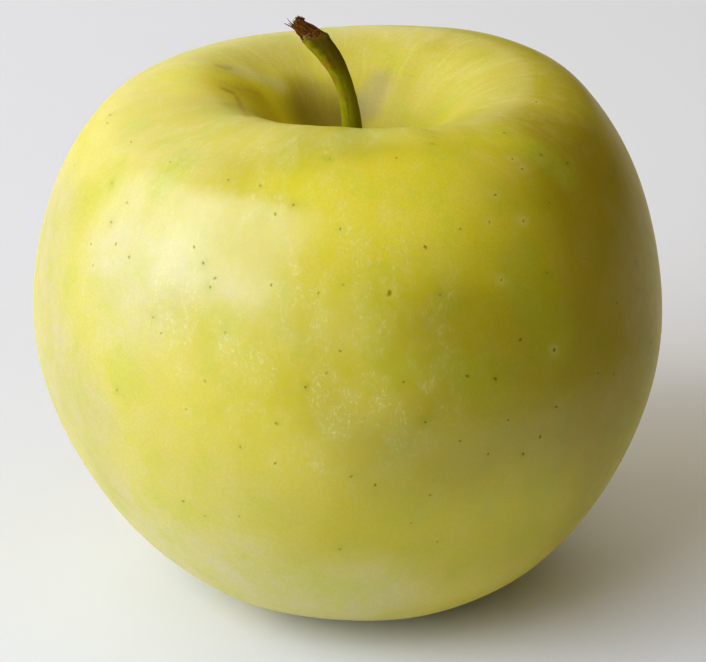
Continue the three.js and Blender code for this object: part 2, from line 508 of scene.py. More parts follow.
# A mark of the skin: a line between two pixels of the photograph, the distances in millimetres within which
# the mark is full and beyond which it is gone, its tone and its strength.
Mark = namedtuple("Mark", "start end full gone tone strength")
BROAD_MARKS = {
    "front": Mark((330, 330), (330, 330), 26, 46, GOLD, 1.0),
    # painted light: paler on the side that faces the window
    "pale_side": Mark((110, 230), (150, 480), 8, 26, PALE, 1.0),
    "left_edge": Mark((48, 230), (60, 380), 2, 12, DULL_CREAM, 0.8),
    # painted highlight of the window, creamy
    "creamy_highlight": Mark((135, 270), (200, 300), 2, 13, CREAM, 0.9),
    "clear_middle": Mark((240, 390), (345, 420), 4, 15, CLEAR, 0.8),
    # painted shade: the side away from the window
    "shaded_side": Mark((470, 400), (590, 430), 8, 24, OLIVE, 1.0),
    # painted shade low on the right
    "shaded_right_foot": Mark((400, 540), (530, 520), 3, 13, GOLD, 0.9),
    # painted reflection of the lit floor on the lower left
    "left_foot_reflection": Mark((190, 560), (350, 600), 3, 14, CREAM, 0.9),
    # painted light on the upper shoulder
    "lit_shoulder": Mark((320, 215), (485, 185), 3, 14, LEMON, 1.0),
    # painted shade on the right cheek
    "shaded_cheek": Mark((604, 215), (614, 330), 4, 24, SHADED_AMBER, 1.0),
    # painted shade on the right shoulder
    "shaded_shoulder": Mark((566, 150), (592, 205), 2, 12, SHADED_AMBER, 0.5),
    # painted light on the crest left of the cavity
    "lit_rim": Mark((200, 80), (275, 104), 2, 8, LEMON, 0.9),
    # painted shade on the far rim, right of the cavity
    "shaded_rim": Mark((455, 38), (545, 95), 1, 8, SHADE, 0.7),
    "far_wall": Mark((390, 60), (450, 80), 1, 9, PALE, 0.8),
    # partly russet at the stem's foot, partly painted shade deep in the cavity
    "hollow_russet_and_shade": Mark((316, 112), (338, 120), 1, 6, UMBER, 0.8),
    "near_lip": Mark((290, 134), (365, 139), 1, 5, GOLD, 0.7),
    "right_lip": Mark((415, 131), (485, 136), 1, 7, LEMON, 0.6),
    "left_lip": Mark((150, 112), (245, 140), 1, 7, CLEAR, 0.7),
    "left_low": Mark((92, 430), (112, 490), 1, 8, DULL_CREAM, 0.6),
    # darker gold beside the highlight, trimming how far the shine spreads: painted light
    "beside_the_shine": Mark((226, 205), (272, 240), 1, 8, GOLD, 0.7),
    # painted light in the middle
    "lit_middle": Mark((345, 290), (375, 385), 1, 9, CLEAR, 0.7),
}
SMALL_MARKS = {
    "green_smudge": Mark((160, 184), (184, 160), 0.3, 3.2, GREEN, 0.42),
    "green_patch": Mark((468, 372), (490, 392), 0.6, 3.6, GREEN_SHADE, 0.40),
    "green_shoulder": Mark((530, 150), (562, 170), 0.5, 4.0, GREEN, 0.30),
    "green_band": Mark((522, 262), (554, 340), 0.8, 5.0, GREEN_SHADE, 0.45),
    "green_foot": Mark((455, 365), (462, 372), 0.6, 3.6, GREEN_SHADE, 0.35),
    # a whitish-grey smear on the cavity's left wall that also paints its sheen
    "grey_smear_and_sheen": Mark((234, 70), (276, 84), 0.3, 2.2, GREY_PALE, 0.45),
    "ochre_patch": Mark((228, 88), (256, 96), 0.5, 2.8, OCHRE, 0.40),
    "scuff_long": Mark((238, 98), (249, 117), 0.05, 0.8, SCUFF, 0.50),
    "scuff_dark": Mark((223, 89), (232, 93), 0.1, 0.9, SCUFF_DARK, 0.42),
    "scuff_thin": Mark((234, 88), (258, 93), 0.05, 0.6, SCUFF, 0.22),
    "scuff_high": Mark((219, 66), (229, 68), 0.1, 1.0, SCUFF_DARK, 0.30),
    "cavity_bruise": Mark((368, 104), (380, 82), 0.6, 2.8, GREY, 0.55),
}


def growth_coordinates(tree, spot):
    """The polar angle of a place on the skin, and a function for coordinates that run with the growth."""
    x, y, z = add(tree, "SeparateXYZ", {0: spot}).outputs
    radius = calc(tree, "SQRT", calc(tree, "ADD", times(tree, x, x), times(tree, y, y)))
    polar = calc(tree, "ARCTAN2", radius, calc(tree, "SUBTRACT", z, SKIN_MIDDLE_HEIGHT))
    not_nought = calc(tree, "MAXIMUM", radius, 0.01)
    around = [calc(tree, "DIVIDE", side, not_nought) for side in (x, y)]

    def grown(across, along):
        """Coordinates in features per radian, across the growth and along it, from stem to calyx."""
        return combined(tree, *(times(tree, side, across) for side in around), times(tree, polar, along))

    return polar, grown


def distance_to_pixels(tree, skin, place, start, end):
    """How far a place is from the line between the points of the skin that two pixels show."""
    return distance_to_line(tree, place, skin.at_pixel(start), skin.at_pixel(end))


def marked(tree, tone, skin, marks, place):
    for mark in marks.values():
        reach = distance_to_pixels(tree, skin, place, mark.start, mark.end)
        share = ramp(tree, reach, mark.full, mark.gone, start=mark.strength, end=0.0)
        tone = blend(tree, share, tone, mark.tone)
    return tone


def broad_tones(tree, skin, spot, polar):
    """Pale and ripe tones all round, then marks on the side in view, most of them painted light and shade,
    and a darker hollow, partly its own tone and partly painted shade.
    """
    ripe = ramp(tree, grain(tree, spot, 0.026, detail=1.0), 0.40, 0.64)
    shaded = ramp(tree, grain(tree, stretch(tree, spot, -1.0), 0.024, detail=1.0), 0.52, 0.66, end=0.6)
    tone = blend(tree, shaded, blend(tree, ripe, PALE, YELLOW), SHADE)
    tone = marked(tree, tone, skin, BROAD_MARKS, warped(tree, spot, 0.07, 4.0))
    return tint(tree, ramp(tree, polar, 0.20, 0.52, start=1.0, end=0.0), tone, HOLLOW_TONE_AND_SHADE)


def clouded(tree, tone, spot, mottle):
    """Soft clouds of a few millimetres, greener in some places and creamier in others."""
    clouds = grain(tree, warped(tree, spot, 0.12, 3.0), 0.17, detail=4.0, roughness=0.6)
    tone = tint(tree, ramp(tree, clouds, 0.34, 0.52, start=0.9, end=0.0), tone, GREEN_SHIFT)
    tone = tint(tree, ramp(tree, clouds, 0.48, 0.66, end=0.9), tone, CREAM_SHIFT)
    return tint(tree, ramp(tree, mottle, 0.40, 0.66, end=0.8), tone, TAN_SHIFT)


def streaked(tree, tone, grown, polar):
    """Soft streaks that run out of the stem cavity."""
    streaks = grain(tree, warped(tree, grown(12.0, 10.0), 0.6, 0.8), 1.0, detail=4.0, roughness=0.65)
    fading = ramp(tree, polar, 0.45, 0.95, start=0.16, end=0.03)
    share = times(tree, ramp(tree, streaks, 0.44, 0.70), fading, ramp(tree, polar, 0.34, 0.48))
    return blend(tree, share, tone, PALE_FLECK)


def find_scarf_skin(tree, skin, spot, grown, polar):
    """How thick the scarf skin is, its soft patches, and its short pale curls along the growth."""
    reach = distance_to_pixels(tree, skin, spot, *SCARF_SKIN)
    thick = ramp(tree, reach, 9.0, 23.0, start=1.0, end=0.08)
    patches = ramp(tree, grain(tree, grown(9.0, 6.0), 1.0, detail=4.0, roughness=0.65), 0.38, 0.66)
    patches = times(tree, patches, thick, ramp(tree, polar, 0.45, 0.65))
    curls = grain(tree, grown(60.0, 26.0), 1.0, distortion=1.6)
    from_middle = calc(tree, "ABSOLUTE", calc(tree, "SUBTRACT", curls, 0.5))
    lines = ramp(tree, from_middle, 0.0, 0.06, start=1.0, end=0.0)
    pieces = ramp(tree, grain(tree, stretch(tree, spot, -1.0), 1.3, detail=1.0), 0.44, 0.60)
    return thick, patches, times(tree, lines, pieces, patches)


def grained(tree, tone, spot, thick):
    """A soft veil and a fine grain, with pale flecks where the scarf skin is thick."""
    veil = grain(tree, spot, 0.7, detail=5.0, roughness=0.75)
    tone = tint(tree, ramp(tree, veil, 0.34, 0.66), tone, VEIL_SHIFT)
    fine = ramp(tree, grain(tree, spot, 3.6, roughness=0.75), 0.36, 0.64)
    tone = tint(tree, fine, tone, FINE_SHIFT)
    return blend(tree, times(tree, fine, thick, 0.06), tone, PALE_FLECK)


def haloed(tree, tone):
    """Pale and green halos round the pores."""
    halo = vertex_value(tree, "halo")
    tone = blend(tree, ramp(tree, halo, 0.05, 0.6, end=0.16), tone, PALE_FLECK)
    return tint(tree, ramp(tree, times(tree, halo, -1.0), 0.1, 0.9, end=0.6), tone, HALO_SHIFT)


def skin_group(skin):
    """Node group with the skin's colour, roughness, height and share of wax, from the place on the fruit."""
    tree = bpy.data.node_groups.new("apple_skin", "ShaderNodeTree")
    tree.interface.new_socket("Color", in_out="OUTPUT", socket_type="NodeSocketColor")
    for name in ("Roughness", "Height", "Wax"):
        tree.interface.new_socket(name, in_out="OUTPUT", socket_type="NodeSocketFloat")
    spot = place_in_mm(tree)
    polar, grown = growth_coordinates(tree, spot)
    mottle = grain(tree, spot, 0.55, detail=4.0, roughness=0.62)
    thick, patches, curls = find_scarf_skin(tree, skin, spot, grown, polar)

    tone = clouded(tree, broad_tones(tree, skin, spot, polar), spot, mottle)
    tone = marked(tree, tone, skin, SMALL_MARKS, warped(tree, spot, 0.5, 0.45))
    tone = streaked(tree, tone, grown, polar)
    for share, strength in ((curls, CURL_SHARE), (patches, PATCH_SHARE)):
        tone = blend(tree, times(tree, share, strength), tone, PALE_FLECK)
    tone = haloed(tree, grained(tree, tone, spot, thick))

    peel = grain(tree, spot, 1.6, detail=3.0, roughness=0.6)
    dull_reach = distance_to_pixels(tree, skin, spot, *DULL_CHEEK)
    fill(tree, tree.nodes.new("NodeGroupOutput"), {
        "Color": tone,
        "Roughness": ramp(tree, mottle, 0.3, 0.7, start=0.50, end=0.62),
        "Height": calc(tree, "ADD", peel, times(tree, curls, CURL_HEIGHT)),
        "Wax": times(tree, ramp(tree, dull_reach, 5.0, 22.0, start=0.5),
                     ramp(tree, polar, 0.36, 0.78, start=0.02, end=0.29)),
    })
    return tree


def skin_material(group):
    material, tree, shader = new_material("apple_skin", {
        "Subsurface Weight": 0.5, "Subsurface Radius": (1.0, 0.6, 0.12), "Subsurface Scale": 2.0 * MM,
        "Coat Roughness": 0.24, "Coat IOR": 2.2, "Specular IOR Level": 0.1,
    })
    surface = add(tree, "Group", node_tree=group).outputs
    fill(tree, shader, {
        "Base Color": surface["Color"], "Roughness": surface["Roughness"], "Coat Weight": surface["Wax"],
        "Coat Normal": bumped(tree, shader, surface["Height"], 0.25, 0.05),
    })
    return material


# ======== pores of the skin

# Pixels of the photograph at the middle of each brown pore. The first one is the biggest.
PORES_SEEN = (
    (389, 293), (425, 247), (467, 376), (495, 379), (520, 340), (554, 350), (305, 387), (225, 332),
    (153, 317), (161, 333), (205, 381), (276, 423), (275, 463), (240, 447), (508, 420), (460, 441),
    (425, 422), (488, 454), (523, 454), (403, 382), (501, 280), (547, 273), (584, 259), (549, 203),
    (432, 144), (396, 158), (512, 159), (495, 195), (489, 222), (523, 221), (460, 229), (440, 295),
    (426, 130), (504, 133), (541, 155), (567, 163), (614, 170), (536, 102), (522, 169), (636, 262),
    (638, 290), (598, 373), (614, 374), (651, 343), (617, 303), (340, 549), (411, 523), (437, 542),
    (430, 495), (375, 485), (351, 476), (186, 409), (117, 390), (215, 278), (210, 287), (271, 285),
    (340, 351), (326, 373), (540, 437), (556, 407), (205, 516), (239, 516), (183, 501), (74, 165),
    (110, 115), (107, 123), (131, 142), (170, 162), (127, 203), (111, 222), (116, 244), (129, 257),
    (93, 265), (260, 186), (293, 205), (275, 214), (340, 229), (343, 285), (318, 293), (194, 247),
    (203, 263), (225, 104), (228, 180), (112, 183), (91, 244), (329, 159),
)
BIG_PORES = ((389, 293), (495, 379), (520, 340), (467, 376), (425, 247), (554, 350), (305, 387), (276, 423))
PORE_RADII = (0.13, 0.18)
BIG_PORE_RADII = (0.20, 0.26)
BIGGEST_PORE_RADIUS = 0.36
UNSEEN_PORE_RADII = (0.13, 0.24)
# How brown the pores are, and their halos: above nought for a pale one, below it for a green one.
PORE_BROWNS = (0.65, 0.95)
BIG_PORE_BROWNS = (0.8, 1.0)
UNSEEN_PORE_BROWNS = (0.5, 0.9)
PORE_HALOS = (-1.0, 0.6)
PORE_SPACING = 3.4
LOWEST_PORE = 1.5
PORES_UNSEEN = 170
MOST_TRIES = 4000
SEARCH_RADIUS = 36.0  # about the fruit's radius
HALO_REACH = 0.9
PORE_SIDES = 12
PORE_LENGTHENING = 0.22
PORE_JAGS = 0.16
PORE_LUMPS = 0.012
# Rings of a pore: (share of its radius, height above the skin in millimetres, share of its brown tone).
PORE_RINGS = ((0.0, 0.015, 1.0), (0.4, 0.035, 0.95), (0.75, 0.03, 0.8), (1.1, 0.012, 0.3), (1.5, -0.03, 0.0))
# The cork multiplies the tone of the skin round it.
CORK_DARK = (0.42, 0.29, 0.15)
CORK_PALE = (0.70, 0.55, 0.42)
PORES_PALER_IN_LIGHT = (-10.0, 15.0)  # millimetres from the core: the pores grow paler across this span, towards -X, where the light falls: painted light
LIT_PORE_SHARE = 0.45


Pore = namedtuple("Pore", "place radius brown halo")


def find_pores(skin):
    """Pores where the photograph shows them, and evenly scattered ones on the side that it doesn't show."""
    draw = random.Random(11)
    pores = []
    for pixel in PORES_SEEN:
        big = pixel in BIG_PORES
        radius = draw.uniform(*(BIG_PORE_RADII if big else PORE_RADII))
        if pixel == PORES_SEEN[0]:
            radius = BIGGEST_PORE_RADIUS
        brown = draw.uniform(*(BIG_PORE_BROWNS if big else PORE_BROWNS))
        place = skin.at_pixel(pixel)
        # paler where the light falls: painted light
        brown *= LIT_PORE_SHARE + (1 - LIT_PORE_SHARE) * float(smooth_step(place.x, *PORES_PALER_IN_LIGHT))
        pores.append(Pore(place, radius, brown, draw.uniform(*PORE_HALOS)))
    tries = 0
    while len(pores) < len(PORES_SEEN) + PORES_UNSEEN and tries < MOST_TRIES:
        tries += 1
        way = Vector([draw.gauss(0, 1) for _ in range(3)]).normalized()
        place = skin.nearest(Vector((0, 0, SKIN_MIDDLE_HEIGHT)) + way * SEARCH_RADIUS)[0]
        room = min((place - pore.place).length for pore in pores)
        if room > PORE_SPACING and place.z > LOWEST_PORE and not skin.seen(place):
            ranges = (UNSEEN_PORE_RADII, UNSEEN_PORE_BROWNS, PORE_HALOS)
            pores.append(Pore(place, *(draw.uniform(*limits) for limits in ranges)))
    return pores


def halo_values(skin, pores):
    """At each vertex of the skin, how pale or how green the halo of the closest pore makes it."""
    tree = KDTree(len(pores))
    for k, pore in enumerate(pores):
        tree.insert(pore.place, k)
    tree.balance()
    values = []
    for vertex in skin.vertices:
        _, k, distance = tree.find(vertex)
        values.append(pores[k].halo * math.exp(-(distance / HALO_REACH) ** 2))
    return values


def make_pores(skin, pores, material):
    """Small corky scabs that lie on the skin, as one mesh."""
    draw = random.Random(23)
    heap = Heap("brown")
    angles = np.arange(PORE_SIDES) / PORE_SIDES * math.tau
    for pore in pores:
        normal = skin.nearest(pore.place)[1]
        across = normal.orthogonal().normalized()
        turned = across.cross(normal)
        long_way = draw.uniform(0, math.tau)
        reach = 1.0 + PORE_LENGTHENING * np.cos(2 * (angles - long_way))
        reach += np.array([draw.uniform(-PORE_JAGS, PORE_JAGS) for _ in angles])
        vertices, browns = [], []
        for share, height, brown in PORE_RINGS:
            for angle, stretched in zip(angles if share else angles[:1], reach):
                way = across * math.cos(angle) + turned * math.sin(angle)
                place, upward = skin.nearest(pore.place + way * (share * pore.radius * stretched))
                lump = draw.uniform(-PORE_LUMPS, PORE_LUMPS) if brown else 0.0
                vertices.append(place + upward * (height + lump))
                browns.append(brown * pore.brown)
        faces = [(0, 1 + (k + 1) % PORE_SIDES, 1 + k) for k in range(PORE_SIDES)]
        faces += grid_faces(len(PORE_RINGS) - 1, PORE_SIDES, first=1)
        heap.put((vertices, faces), brown=browns)
    return heap.make("skin_pores", material)


def pore_material(group):
    material, tree, shader = new_material("skin_pores", {"Roughness": 0.75, "Specular IOR Level": 0.1})
    surface = add(tree, "Group", node_tree=group)
    fleck = grain(tree, place_in_mm(tree), 9.0)
    cork = blend(tree, ramp(tree, fleck, 0.38, 0.60), CORK_DARK, CORK_PALE)
    tone = tint(tree, vertex_value(tree, "brown"), surface.outputs["Color"], cork)
    fill(tree, shader, {"Base Color": tone})
    bumped(tree, shader, fleck, 0.5, 0.03)
    return material


# ======== stem

BARK_LENGTH = 20.0  # the green bark ends about this far along
# painted light and shade of the green bark: the lit tone, then the shaded one, which also darkens the streaks
BARK_LIT = (0.31, 0.305, 0.003)
BARK_DARK_AND_SHADED = (0.160, 0.145, 0.0)
BARK_BROWN = (0.090, 0.060, 0.0)
BARK_FOOT = (0.30, 0.31, 0.005)
BARK_FLECK = (0.38, 0.17, 0.006)
BARK_TORN = (0.34, 0.18, 0.07)
WOOD_DARK = (0.030, 0.009, 0.0)
WOOD_MIDDLE = (0.135, 0.045, 0.002)
WOOD_PALE = (0.32, 0.14, 0.035)


def make_stem(skin, material):
    """The bent stem, swollen and ragged where it broke off its twig, with fibres that stand out."""
    upright = [(STEM_OFFSET, 0.0, height) for height in (STEM_FOOT_HEIGHT, *STEM_BEND_HEIGHTS)]
    path, along = even_steps(bezier((*upright, STEM_TIP), CURVE_STEPS) - skin.middle, STEM_RINGS)
    forward, out, side = frames_along(path)
    angle = (np.arange(STEM_SIDES) / STEM_SIDES * math.tau)[None, :]
    radii = np.interp(along / along[-1], np.linspace(0, 1, len(STEM_RADII)), STEM_RADII)[:, None]
    far, from_end = along[:, None], (along[-1] - along)[:, None]
    around_x, around_y = np.cos(angle), np.sin(angle)

    def uneven(scale, height):
        """Noise round the stem, with the scale in features per radius."""
        return rough(around_x * scale, around_y * scale, height)

    # The bark ends on a slant, further back on the upper side, and the brown wood sticks out of it.
    bark_end = 0.85 + 0.62 * (radii * around_x + 1.1) + 0.30 * uneven(1.6, 3.0) + 0.14 * uneven(5, 8.0)
    brown = smooth_step(bark_end - from_end, -0.12, 0.12)
    torn = np.exp(-((from_end - bark_end) / 0.20) ** 2) * smooth_step(-around_x, -0.35, 0.5)

    ridges = 0.05 * np.cos(3 * (angle - math.radians(200))) + 0.018 * np.cos(7 * angle + 0.12 * far)
    ridges = ridges + 0.012 * np.cos(12 * angle - 0.2 * far)
    bark = 0.035 * uneven(2.2, far * 0.7) + 0.022 * uneven(7, far * 1.6)
    splinters = 0.10 * uneven(6, far * 0.9) + 0.06 * uneven(15, far * 1.5) - 0.05
    knob = 0.16 * np.exp(-((from_end - STEM_KNOB) / 0.30) ** 2) * smooth_step(around_x, 0.55, 1.0)
    taper = STEM_TAPER * np.exp(-(from_end / STEM_TAPER_LENGTH) ** 2) * smooth_step(around_x, -0.1, 1.0)
    spread = radii * (1 + ridges + bark * (1 - brown) + splinters * brown) + knob + 0.10 * torn - taper

    lead = STEM_BREAK_LEAD - STEM_BREAK_STEP * smooth_step(-radii[-1] * around_x, 0.45, 1.2)
    teeth = 0.22 * uneven(3.5, 20.0) + 0.16 * uneven(11, 5.0)
    pulled = (lead + teeth) * np.clip(1 - from_end / STEM_RAGGED_LENGTH, 0, 1) ** 2
    rings = path[:, None] + out[:, None] * (spread * around_x)[..., None]
    rings = rings + side[:, None] * (spread * around_y)[..., None] + forward[:, None] * pulled[..., None]

    # The face of the break, hollow and uneven.
    centre = rings[-1].mean(0)
    face_rings = []
    for share in FACE_SHARES:
        height = 0.16 * uneven(share * 4, share * 9.0)[0] - FACE_DEPTH * (1 - share)
        face_rings.append(centre + (rings[-1] - centre) * share + forward[-1] * height[:, None])
    vertices, faces = closed_rings(np.concatenate([rings, np.array(face_rings)]))

    def over_all(values, on_face):
        """The values of the rings, then those of the face and of both middles."""
        values = np.broadcast_to(values, rings.shape[:2]).ravel()
        face_values = np.full(len(FACE_SHARES) * STEM_SIDES, on_face)
        return np.concatenate([values, face_values, [values[0], on_face]])

    heap = Heap("brown", "torn", "along", "around_x", "around_y")
    heap.put(
        (vertices, faces), brown=over_all(brown, 1.0), torn=over_all(torn, 0.0),
        along=over_all(far, along[-1]), around_x=over_all(around_x, 0.0),
        around_y=over_all(around_y, 0.0),
    )
    add_fibres(heap, path[-1], forward[-1], out[-1], side[-1], along[-1])
    return heap.make("stem_bark", material)


def add_fibres(heap, middle, forward, out, side, length):
    """Wood fibres that stand out of the broken end."""
    draw = random.Random(5)

    def put_fibre(root, tip, bow, radius):
        """Each end is given as (along, across, sideways) from the middle of the broken end."""
        start, end = (middle + forward * a + out * b + side * c for a, b, c in (root, tip))
        t = np.linspace(0, 1, FIBRE_STEPS)
        path = start + (end - start) * t[:, None] + out * (4 * bow * t * (1 - t))[:, None]
        width = radius * (1 - 0.82 * t ** 1.3) * (1 + 0.15 * np.sin(7 * t + root[1] * 9))
        form = tube(path, width, width * 0.7, sides=FIBRE_SIDES)
        heap.put(form, brown=1.0, torn=0.0, along=length, around_x=root[1] * 2, around_y=root[2] * 2)

    for (root_along, root_across), (tip_along, tip_across), bow, radius in LONG_FIBRES:
        sideways = draw.uniform(-0.35, 0.05)
        root = (root_along - 0.5, root_across, sideways)
        put_fibre(root, (tip_along, tip_across, sideways + draw.uniform(-0.1, 0.1)), bow, radius)
    for _ in range(SHORT_FIBRES):
        turn, reach = draw.uniform(0, math.tau), math.sqrt(draw.uniform(0.05, 1.0))
        across, sideways = reach * math.cos(turn), reach * math.sin(turn)
        surface = STEM_BREAK_LEAD - STEM_BREAK_STEP * float(smooth_step(-across, 0.35, 1.1))
        root = (surface - 0.75, across, sideways)
        tip = (surface + draw.uniform(-0.22, 0.30), across + draw.uniform(-0.12, 0.12),
               sideways + draw.uniform(-0.12, 0.12))
        put_fibre(root, tip, draw.uniform(-0.06, 0.06), draw.uniform(0.06, 0.13))


def stem_material():
    material, tree, shader = new_material("stem_bark", {"Specular IOR Level": 0.1})
    brown, torn = vertex_value(tree, "brown"), vertex_value(tree, "torn")
    around_x, around_y = vertex_value(tree, "around_x"), vertex_value(tree, "around_y")
    along = vertex_value(tree, "along")

    def lengthwise(around, length):
        """Coordinates on the bark, in features per radius across it and per millimetre along it."""
        sides = (times(tree, side, around) for side in (around_x, around_y))
        return combined(tree, *sides, times(tree, along, length))

    # Green bark with painted light and shade: bright on the side the light falls on, olive-brown on the
    # shaded side, with fine lengthwise streaks.
    blotches = grain(tree, lengthwise(0.9, 0.55), 1.0, detail=3.0, roughness=0.6)
    turned = calc(tree, "ADD", around_x, times(tree, calc(tree, "SUBTRACT", blotches, 0.5), 1.8))
    green = blend(tree, ramp(tree, turned, -1.0, 0.3), BARK_LIT, BARK_DARK_AND_SHADED)
    streaks = grain(tree, lengthwise(9.0, 0.8), 1.0, detail=3.0, roughness=0.65)
    green = blend(tree, ramp(tree, streaks, 0.46, 0.72, end=0.35), green, BARK_DARK_AND_SHADED)
    # Browner near the top on the shaded side: partly browning, partly painted shade.
    at_top = ramp(tree, along, BARK_LENGTH - 8.0, BARK_LENGTH - 2.0, end=0.9)
    green = blend(tree, times(tree, at_top, ramp(tree, turned, -0.9, 0.0)), green, BARK_BROWN)
    # Orange flecks, kept to the lit side.
    flecks = grain(tree, lengthwise(1.8, 0.8), 1.0, detail=3.0, roughness=0.65)
    lit_side = ramp(tree, around_x, -0.9, 0.1, start=1.0, end=0.08)
    fleck_share = times(tree, ramp(tree, flecks, 0.50, 0.60, end=0.8), ramp(tree, along, 10.5, 13.5), lit_side)
    green = blend(tree, fleck_share, green, BARK_FLECK)
    at_foot = ramp(tree, along, 2.0, 8.0, start=0.7, end=0.0)
    green = blend(tree, at_foot, green, BARK_FOOT)

    # Brown broken wood: dark furrows between paler splinters.
    furrows = grain(tree, lengthwise(7.0, 1.3), 1.0, detail=4.0, roughness=0.65, distortion=0.5)
    crumbs = grain(tree, place_in_mm(tree), 3.6, detail=3.0, roughness=0.6)
    wood = blend(tree, ramp(tree, furrows, 0.38, 0.60), WOOD_DARK, WOOD_MIDDLE)
    wood = blend(tree, ramp(tree, crumbs, 0.54, 0.70, end=0.85), wood, WOOD_PALE)

    edge = calc(tree, "ADD", brown, times(tree, calc(tree, "SUBTRACT", crumbs, 0.5), 1.1))
    tone = blend(tree, ramp(tree, edge, 0.35, 0.65), green, wood)
    tone = blend(tree, times(tree, torn, ramp(tree, crumbs, 0.42, 0.58)), tone, BARK_TORN)
    fill(tree, shader, {"Base Color": tone, "Roughness": ramp(tree, brown, 0.0, 1.0, start=0.58, end=0.85)})
    bumped(tree, shader, blend(tree, brown, streaks, furrows), 0.55, 0.12)
    return material


# ======== calyx

SEPAL_COUNT = 5
SEPAL_STEPS = 40
SEPAL_SIDES = 20
STAMEN_COUNT = 14
STAMEN_STEPS = 16
STAMEN_SIDES = 8
SEPAL_DARK = (0.035, 0.020, 0.009)
SEPAL_PALE = (0.16, 0.10, 0.045)
SEPAL_DOWN = (0.36, 0.31, 0.20)


def make_calyx(material):
    """Five dried, curled sepals round a tuft of dried stamens, hanging from the roof of the basin."""
    low, high = (np.array(corner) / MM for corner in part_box("calyx"))
    middle = (low + high) / 2
    draw = random.Random(31)
    heap = Heap("along")

    def from_top(radius, direction, drop):
        way = np.array((math.cos(direction), math.sin(direction)))
        return (*(middle[:2] + radius * way), high[2] - drop)

    for sepal in range(SEPAL_COUNT):
        direction = math.tau * (sepal + draw.uniform(-0.12, 0.12)) / SEPAL_COUNT
        sway = draw.uniform(-0.35, 0.35)
        depth = draw.uniform(1.7, 2.2)
        curve = bezier((
            from_top(0.7, direction, -1.3), from_top(1.9, direction, -0.1),
            from_top(draw.uniform(2.7, 3.0), direction + sway * 0.5, depth * 0.55),
            from_top(draw.uniform(1.5, 2.3), direction + sway, depth),
        ), 60)
        path, _ = even_steps(curve, SEPAL_STEPS)
        t = np.linspace(0, 1, SEPAL_STEPS)
        width = (0.95 * (1 - t) ** 0.7 + 0.06) * (1 + 0.10 * np.sin(13 * t + sepal))
        thickness = 0.16 * (1 - t) + 0.05 + 0.02 * np.sin(21 * t + 2 * sepal)
        hint = (-math.sin(direction), math.cos(direction), 0.15)
        vertices, faces = tube(path, thickness, width, sides=SEPAL_SIDES, hint=hint)
        crumple = 0.10 * rough(*(vertices.T * 1.3 + sepal))
        vertices = vertices + np.outer(crumple, (math.cos(direction), math.sin(direction), 0.4))
        heap.put((vertices, faces), along=np.append(np.repeat(t, SEPAL_SIDES), (0.0, 1.0)))
    for stamen in range(STAMEN_COUNT):
        direction = math.tau * stamen / STAMEN_COUNT + draw.uniform(-0.15, 0.15)
        lean = draw.uniform(0.35, 1.0)
        drop = draw.uniform(1.1, 1.9)
        curve = bezier((
            from_top(0.45, direction, -1.3), from_top(0.5, direction, 0.3),
            from_top(lean, direction + draw.uniform(-0.5, 0.5), drop * 0.7), from_top(lean, direction, drop),
        ), 40)
        path, _ = even_steps(curve, STAMEN_STEPS)
        t = np.linspace(0, 1, STAMEN_STEPS)
        width = 0.055 + 0.10 * np.exp(-((t - 0.93) / 0.07) ** 2)
        heap.put(tube(path, width, width, sides=STAMEN_SIDES, hint=(0.3, 1.0, 0.1)), along=0.5)
    return heap.make("dried_sepals", material)


def sepal_material():
    material, tree, shader = new_material("dried_sepals", {"Roughness": 0.9, "Specular IOR Level": 0.2})
    place = place_in_mm(tree)
    veins = grain(tree, vector_calc(tree, "MULTIPLY", place, (3.0, 3.0, 0.8)), 1.2, detail=4.0, roughness=0.6)
    tone = blend(tree, ramp(tree, veins, 0.38, 0.66), SEPAL_DARK, SEPAL_PALE)
    fuzz = grain(tree, place, 7.0)
    down = times(tree, ramp(tree, fuzz, 0.5, 0.7, end=0.6), vertex_value(tree, "along"))
    fill(tree, shader, {"Base Color": blend(tree, down, tone, SEPAL_DOWN)})
    bumped(tree, shader, veins, 0.6, 0.15)
    return material


# ======== stage

FLOOR_HALF = 3000.0
PAPER = ((0.79, 0.79, 0.79), (0.81, 0.81, 0.81))
PAPER_IN_COOL_LIGHT = (0.78, 0.81, 0.86)  # painted cool light, on the paper in front of the fruit
COOL_LIGHT_REACH = (-70.0, 20.0)  # it is cool up to the first, and as pale as the rest from the second on
PAPER_FIBRE = (0.60, 0.60, 0.60)
BACKDROP_RADIUS = 2900.0
BACKDROP_LOW = (0.72, 0.72, 0.71)
BACKDROP_HIGH = (0.60, 0.60, 0.60)
DOME_ROWS = 12
DOME_SIDES = 48
PAPER_RADIUS = 125.0
REFLECTED_DARK = (0.012, 0.010, 0.006)
REFLECTED_DARK_TURNS = (-125, 18)  # the dark sheet lies between these directions, in degrees from +X
REFLECTED_DARK_STEPS = 25
REFLECTED_DARK_LIFT = 0.5


def hide_from(piece, *rays):
    for ray in rays:
        setattr(piece, "visible_" + ray, False)


def make_floor():
    corners = [(x * FLOOR_HALF, y * FLOOR_HALF, 0) for x, y in ((-1, -1), (1, -1), (1, 1), (-1, 1))]
    material, tree, shader = new_material("paper", {"Roughness": 0.8})
    place = place_in_mm(tree)
    tone = blend(tree, grain(tree, place, 0.02), *PAPER)
    depth = add(tree, "SeparateXYZ", {0: place}).outputs[1]
    tone = blend(tree, ramp(tree, depth, *COOL_LIGHT_REACH, start=1.0, end=0.0), tone, PAPER_IN_COOL_LIGHT)
    fibre = grain(tree, place, 1.5, detail=3.0, roughness=0.7)
    tone = blend(tree, ramp(tree, fibre, 0.3, 0.7, end=0.03), tone, PAPER_FIBRE)
    fill(tree, shader, {"Base Color": tone})
    bumped(tree, shader, fibre, 0.15, 0.05)
    make_object("floor", corners, [(0, 1, 2, 3)], material)


